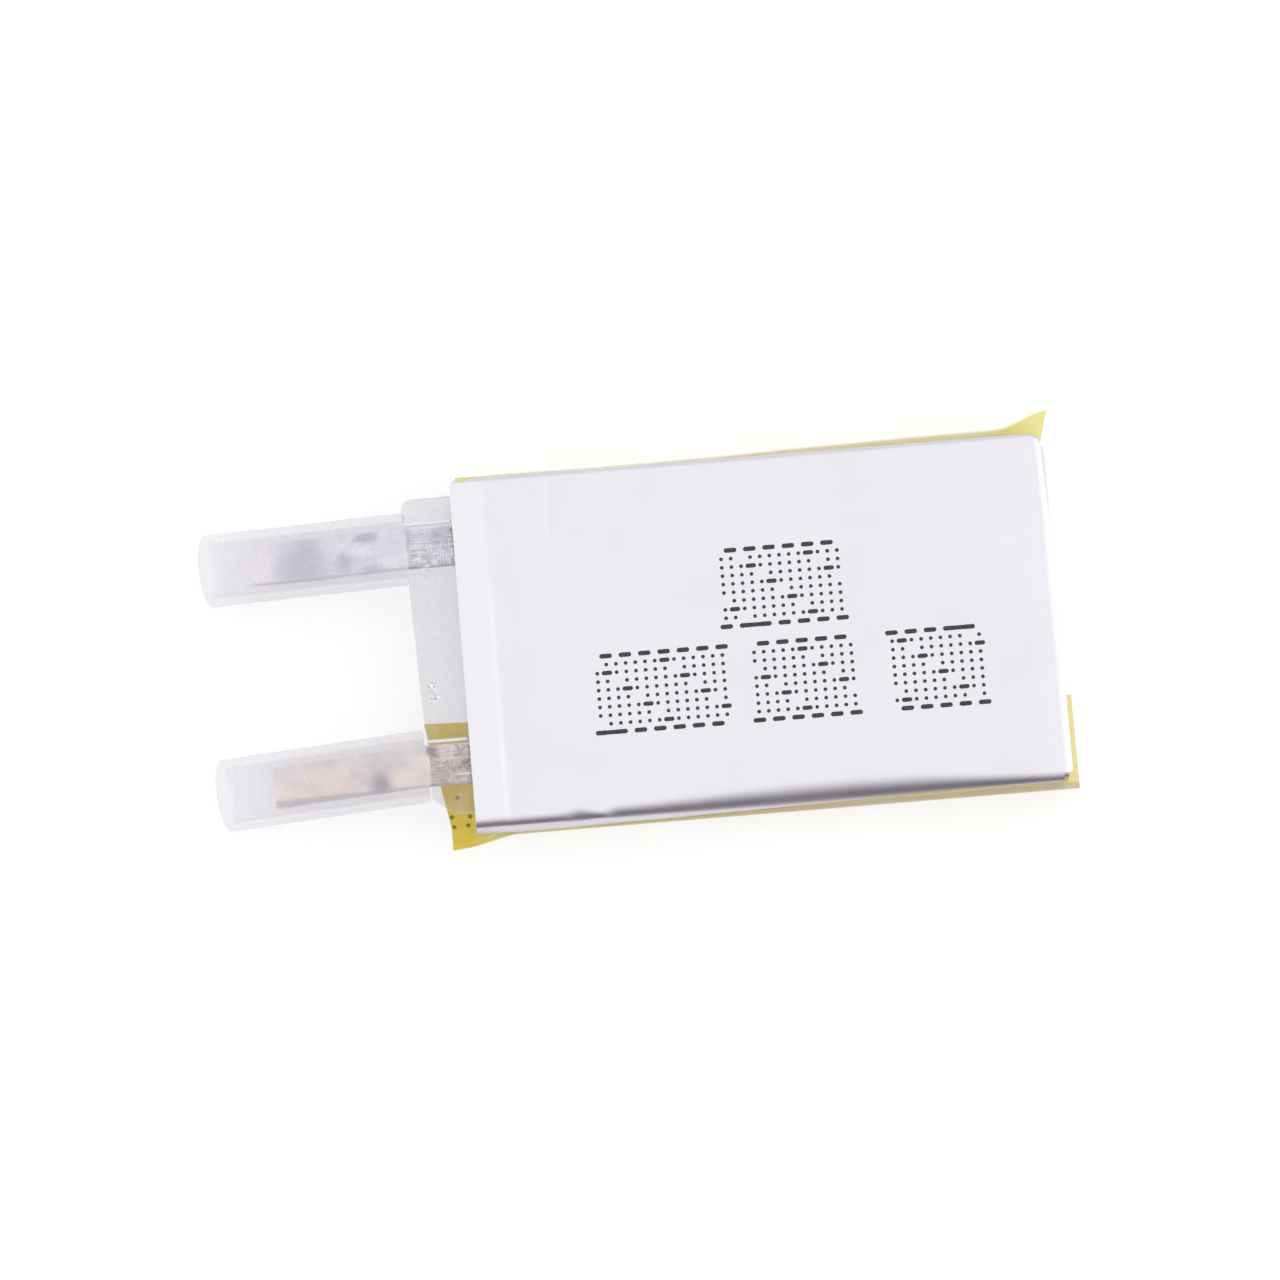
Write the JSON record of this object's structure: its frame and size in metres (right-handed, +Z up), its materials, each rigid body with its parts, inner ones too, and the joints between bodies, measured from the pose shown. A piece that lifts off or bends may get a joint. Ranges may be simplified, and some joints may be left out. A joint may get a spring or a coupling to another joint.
{
  "type": "pouch battery cell",
  "caption": "Small flat pouch battery cell: drawn laminate cup and cover, metal tabs in a sealing film, soft sleeves over the tabs and tape along the folded side seals.",
  "frame": {"origin": "middle of the laminate's outline, in the plane the cell rests on, which is the underside of the two side tapes", "axes": "+X along the cell's length away from the tabs, +Y towards the positive tab's side, +Z up out of the flat cover"},
  "size_m": [0.0312, 0.0133, 0.0041],
  "materials": {
    "laminate": "satin",
    "tab_film": "satin",
    "aluminium_tab": "satin",
    "nickel_tab": "satin",
    "sleeve": "satin",
    "yellow_tape": "satin",
    "separator": "matte",
    "aluminium_foil": "satin",
    "copper_foil": "satin",
    "cathode_coat": "matte",
    "anode_coat": "matte",
    "green_tape": "satin",
    "amber_tape": "gloss",
    "print_ink": "matte"
  },
  "bodies": {
    "cell": {"pouch_cover": "laminate", "pouch_cup": "laminate", "tab_film_top": "tab_film", "tab_film_bottom": "tab_film", "positive_tab_root": "aluminium_tab", "negative_tab_root": "nickel_tab", "near_side_tape": "yellow_tape", "far_side_tape": "yellow_tape", "inner_separator": "separator", "outer_separator": "separator", "cathode_foil": "aluminium_foil", "cathode_coat_inner": "cathode_coat", "cathode_coat_outer": "cathode_coat", "anode_foil": "copper_foil", "anode_coat_inner": "anode_coat", "anode_coat_outer": "anode_coat", "termination_tape": "green_tape", "positive_tab_tape": "amber_tape", "negative_tab_tape": "amber_tape"},
    "positive_tab": {"positive_tab_lead": "aluminium_tab"},
    "negative_tab": {"negative_tab_lead": "nickel_tab"},
    "positive_sleeve": {"positive_sleeve": "sleeve"},
    "negative_sleeve": {"negative_sleeve": "sleeve"}
  },
  "joints": [
    {"name": "positive_tab_bend", "type": "hinge", "parent": "cell", "child": "positive_tab", "pos_m": [-0.01249, 0.004, 0.00278], "axis": [0, 1, 0], "range_deg": [-40, 100]},
    {"name": "negative_tab_bend", "type": "hinge", "parent": "cell", "child": "negative_tab", "pos_m": [-0.01249, -0.004, 0.00278], "axis": [-0.0384, 0.9993, 0], "range_deg": [-40, 100]},
    {"name": "positive_sleeve_slide", "type": "slide", "parent": "positive_tab", "child": "positive_sleeve", "axis": [-0.9848, 0, -0.1736], "range_m": [0, 0.008]},
    {"name": "negative_sleeve_slide", "type": "slide", "parent": "negative_tab", "child": "negative_sleeve", "axis": [-0.9841, -0.0378, -0.1736], "range_m": [0, 0.008]}
  ]
}
